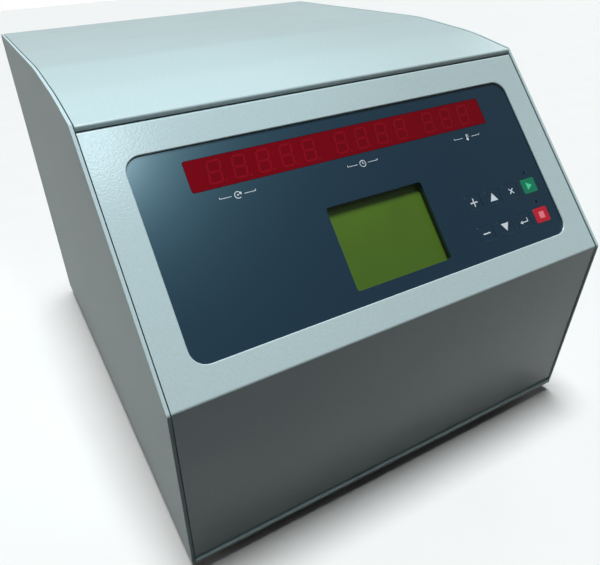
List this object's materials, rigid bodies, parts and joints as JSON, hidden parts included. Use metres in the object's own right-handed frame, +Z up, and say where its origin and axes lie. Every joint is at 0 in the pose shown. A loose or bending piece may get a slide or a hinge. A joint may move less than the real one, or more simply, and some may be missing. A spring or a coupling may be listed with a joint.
{
  "type": "blood centrifuge",
  "caption": "Bench-top blood centrifuge: hinged lid, sloping console with display window, LCD and push keys, swing-out bucket rotor in a steel bowl.",
  "frame": {"origin": "centre of the footprint at the undersides of the feet", "axes": "+X to the right as the user faces the console, +Y to the back, +Z up"},
  "size_m": [0.4, 0.5236, 0.3533],
  "materials": {
    "paint": "light blue-grey powder coat, satin, fine orange peel",
    "membrane": "navy polyester overlay, satin",
    "red_acrylic": "deep red window, glossy",
    "lcd_green": "olive green display",
    "start_green": "green key print, satin",
    "stop_red": "red key print, satin",
    "circuit_board": "green solder resist",
    "rubber": "black rubber, matt",
    "black_plastic": "black moulded plastic, fine grain",
    "liner": "off-white formed plastic, satin",
    "stainless": "brushed stainless steel",
    "zinc_steel": "zinc plated sheet steel",
    "aluminium": "satin anodised aluminium",
    "armour_steel": "dark thick-wall steel"
  },
  "bodies": {
    "cabinet": {"base_plate": "paint", "left_side_panel": "paint", "right_side_panel": "paint", "front_panel": "paint", "rear_panel": "paint", "deck_plate": "paint", "front_left_foot": "rubber", "front_right_foot": "rubber", "rear_left_foot": "rubber", "rear_right_foot": "rubber", "membrane_panel": "membrane", "display_window": "red_acrylic", "display_board": "circuit_board", "lcd_gasket": "rubber", "lcd_module": "lcd_green", "key_board": "circuit_board", "lock_housing": "black_plastic", "chamber_bowl": "stainless", "chamber_seal": "rubber", "guard_ring": "armour_steel", "chamber_support": "zinc_steel", "motor_stand": "zinc_steel", "motor_damper_1": "rubber", "motor_damper_2": "rubber", "motor_damper_3": "rubber", "drive_motor": "aluminium", "shaft_boot": "rubber", "temperature_probe": "stainless", "hinge_fixed_leaf_left": "zinc_steel", "hinge_fixed_leaf_right": "zinc_steel", "hinge_pin_left": "zinc_steel", "hinge_pin_right": "zinc_steel", "fan_frame": "black_plastic", "fan_guard": "zinc_steel", "mains_inlet": "black_plastic", "switch_bezel": "black_plastic", "drive_unit": "aluminium"},
    "lid": {"lid_shell": "paint", "lid_liner": "liner", "lid_striker": "zinc_steel", "hinge_lid_leaf_left": "zinc_steel", "hinge_lid_leaf_right": "zinc_steel"},
    "rotor": {"drive_shaft": "stainless", "rotor_yoke": "aluminium", "rotor_nut": "stainless"},
    "bucket_1": {"bucket_1": "aluminium"},
    "bucket_2": {"bucket_2": "aluminium"},
    "bucket_3": {"bucket_3": "aluminium"},
    "bucket_4": {"bucket_4": "aluminium"},
    "fan": {"fan_impeller": "black_plastic"},
    "lock_bolt": {"lock_bolt": "zinc_steel"},
    "power_rocker": {"power_rocker": "black_plastic"},
    "key_plus": {"key_plus": "membrane"},
    "key_up": {"key_up": "membrane"},
    "key_clear": {"key_clear": "membrane"},
    "key_start": {"key_start": "start_green"},
    "key_minus": {"key_minus": "membrane"},
    "key_down": {"key_down": "membrane"},
    "key_enter": {"key_enter": "membrane"},
    "key_stop": {"key_stop": "stop_red"}
  },
  "joints": [
    {"name": "lid_hinge", "type": "hinge", "parent": "cabinet", "child": "lid", "pos_m": [0, 0.25831, 0.3268], "axis": [-1, 0, 0], "range_deg": [0, 75]},
    {"name": "rotor_spin", "type": "hinge", "parent": "cabinet", "child": "rotor", "pos_m": [0, 0.06781, 0.24], "axis": [0, 0, 1], "continuous": true},
    {"name": "bucket_1_swing", "type": "hinge", "parent": "rotor", "child": "bucket_1", "pos_m": [0.068, 0.06781, 0.24], "axis": [0, -1, 0], "range_deg": [-5, 90]},
    {"name": "bucket_2_swing", "type": "hinge", "parent": "rotor", "child": "bucket_2", "pos_m": [0, 0.13581, 0.24], "axis": [1, 0, 0], "range_deg": [-5, 90]},
    {"name": "bucket_3_swing", "type": "hinge", "parent": "rotor", "child": "bucket_3", "pos_m": [-0.068, 0.06781, 0.24], "axis": [0, 1, 0], "range_deg": [-5, 90]},
    {"name": "bucket_4_swing", "type": "hinge", "parent": "rotor", "child": "bucket_4", "pos_m": [0, -0.00019, 0.24], "axis": [-1, 0, 0], "range_deg": [-5, 90]},
    {"name": "fan_spin", "type": "hinge", "parent": "cabinet", "child": "fan", "pos_m": [-0.108, 0.2415, 0.078], "axis": [0, 1, 0], "continuous": true},
    {"name": "lock_bolt_slide", "type": "slide", "parent": "cabinet", "child": "lock_bolt", "axis": [0, 1, 0], "range_m": [0, 0.008]},
    {"name": "power_rocker_tip", "type": "hinge", "parent": "cabinet", "child": "power_rocker", "pos_m": [0.066, 0.25451, 0.072], "axis": [1, 0, 0], "range_deg": [0, 18]},
    {"name": "key_plus_press", "type": "slide", "parent": "cabinet", "child": "key_plus", "axis": [0, 0.7663, -0.6425], "range_m": [0, 0.0005], "stiffness_N_per_m": 800, "springref_m": -0.0005},
    {"name": "key_up_press", "type": "slide", "parent": "cabinet", "child": "key_up", "axis": [0, 0.7663, -0.6425], "range_m": [0, 0.0005], "stiffness_N_per_m": 800, "springref_m": -0.0005},
    {"name": "key_clear_press", "type": "slide", "parent": "cabinet", "child": "key_clear", "axis": [0, 0.7663, -0.6425], "range_m": [0, 0.0005], "stiffness_N_per_m": 800, "springref_m": -0.0005},
    {"name": "key_start_press", "type": "slide", "parent": "cabinet", "child": "key_start", "axis": [0, 0.7663, -0.6425], "range_m": [0, 0.0005], "stiffness_N_per_m": 800, "springref_m": -0.0005},
    {"name": "key_minus_press", "type": "slide", "parent": "cabinet", "child": "key_minus", "axis": [0, 0.7663, -0.6425], "range_m": [0, 0.0005], "stiffness_N_per_m": 800, "springref_m": -0.0005},
    {"name": "key_down_press", "type": "slide", "parent": "cabinet", "child": "key_down", "axis": [0, 0.7663, -0.6425], "range_m": [0, 0.0005], "stiffness_N_per_m": 800, "springref_m": -0.0005},
    {"name": "key_enter_press", "type": "slide", "parent": "cabinet", "child": "key_enter", "axis": [0, 0.7663, -0.6425], "range_m": [0, 0.0005], "stiffness_N_per_m": 800, "springref_m": -0.0005},
    {"name": "key_stop_press", "type": "slide", "parent": "cabinet", "child": "key_stop", "axis": [0, 0.7663, -0.6425], "range_m": [0, 0.0005], "stiffness_N_per_m": 800, "springref_m": -0.0005}
  ]
}
